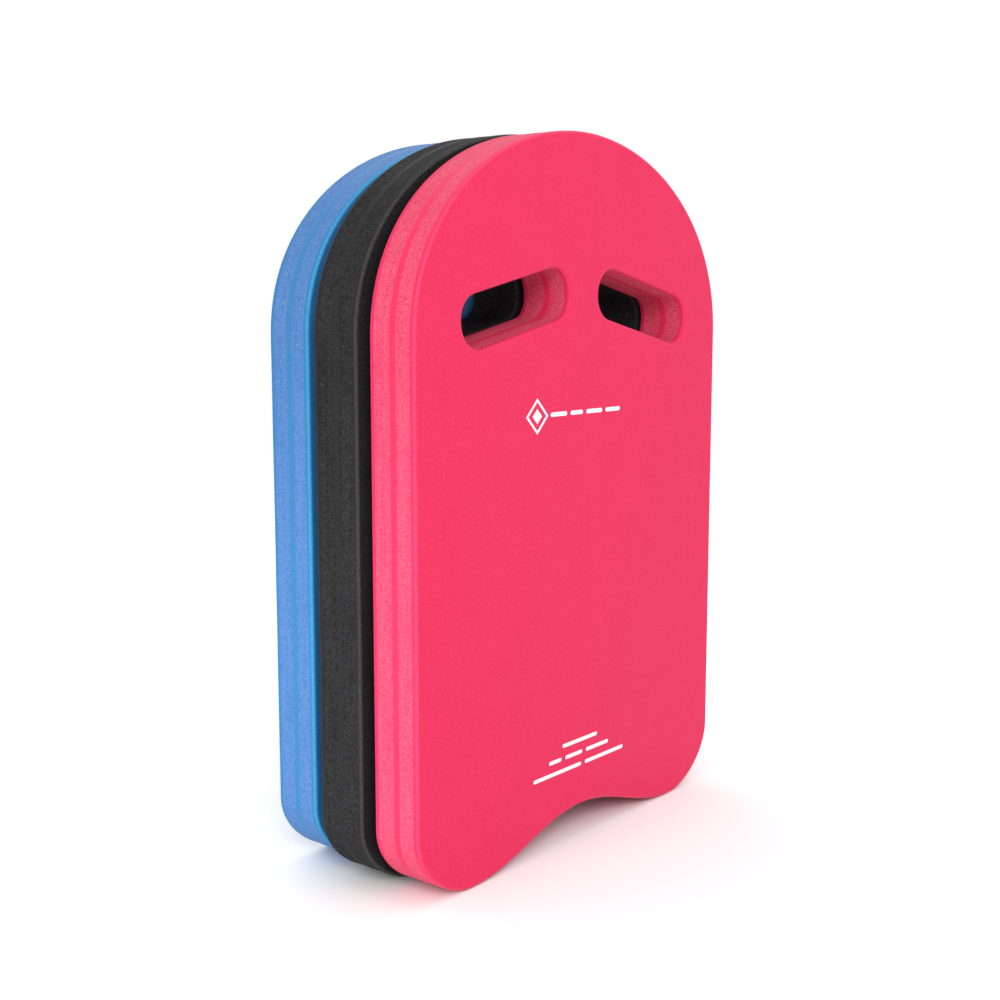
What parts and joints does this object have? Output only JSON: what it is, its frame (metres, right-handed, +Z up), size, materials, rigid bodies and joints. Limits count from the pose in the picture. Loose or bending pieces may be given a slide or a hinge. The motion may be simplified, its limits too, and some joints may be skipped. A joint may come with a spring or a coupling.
{
  "type": "kickboard float",
  "caption": "Row of upright foam kickboards with arched noses, paired slanted hand slots and notched tails, in pink, black and blue laminated foam.",
  "frame": {"origin": "middle of the bounding box's base, on the surface the boards stand on", "axes": "+X across the boards, +Y from the pink front board to the blue rear board, +Z up towards the arched noses"},
  "size_m": [0.3082, 0.1151, 0.43],
  "materials": {
    "pink_dense_foam": "smooth matt skin of dense closed-cell foam",
    "pink_core_foam": "matt cut edge of closed-cell foam with fine speckled cells",
    "black_dense_foam": "smooth matt skin of dense closed-cell foam",
    "black_core_foam": "matt cut edge of closed-cell foam with fine speckled cells",
    "blue_dense_foam": "smooth matt skin of dense closed-cell foam",
    "blue_core_foam": "matt cut edge of closed-cell foam with fine speckled cells"
  },
  "bodies": {
    "pink_board": {"pink_front_skin": "pink_dense_foam", "pink_front_core": "pink_core_foam", "pink_centre_ply": "pink_dense_foam", "pink_rear_core": "pink_core_foam", "pink_rear_skin": "pink_dense_foam"},
    "black_board": {"black_front_skin": "black_dense_foam", "black_front_core": "black_core_foam", "black_centre_ply": "black_dense_foam", "black_rear_core": "black_core_foam", "black_rear_skin": "black_dense_foam"},
    "blue_board": {"blue_front_skin": "blue_dense_foam", "blue_front_core": "blue_core_foam", "blue_centre_ply": "blue_dense_foam", "blue_rear_core": "blue_core_foam", "blue_rear_skin": "blue_dense_foam"}
  },
  "joints": [
    {"name": "black_board_lift", "type": "slide", "parent": "pink_board", "child": "black_board", "axis": [0, 0, 1], "range_m": [0, 0.45]},
    {"name": "blue_board_lift", "type": "slide", "parent": "pink_board", "child": "blue_board", "axis": [0, 0, 1], "range_m": [0, 0.45]}
  ]
}
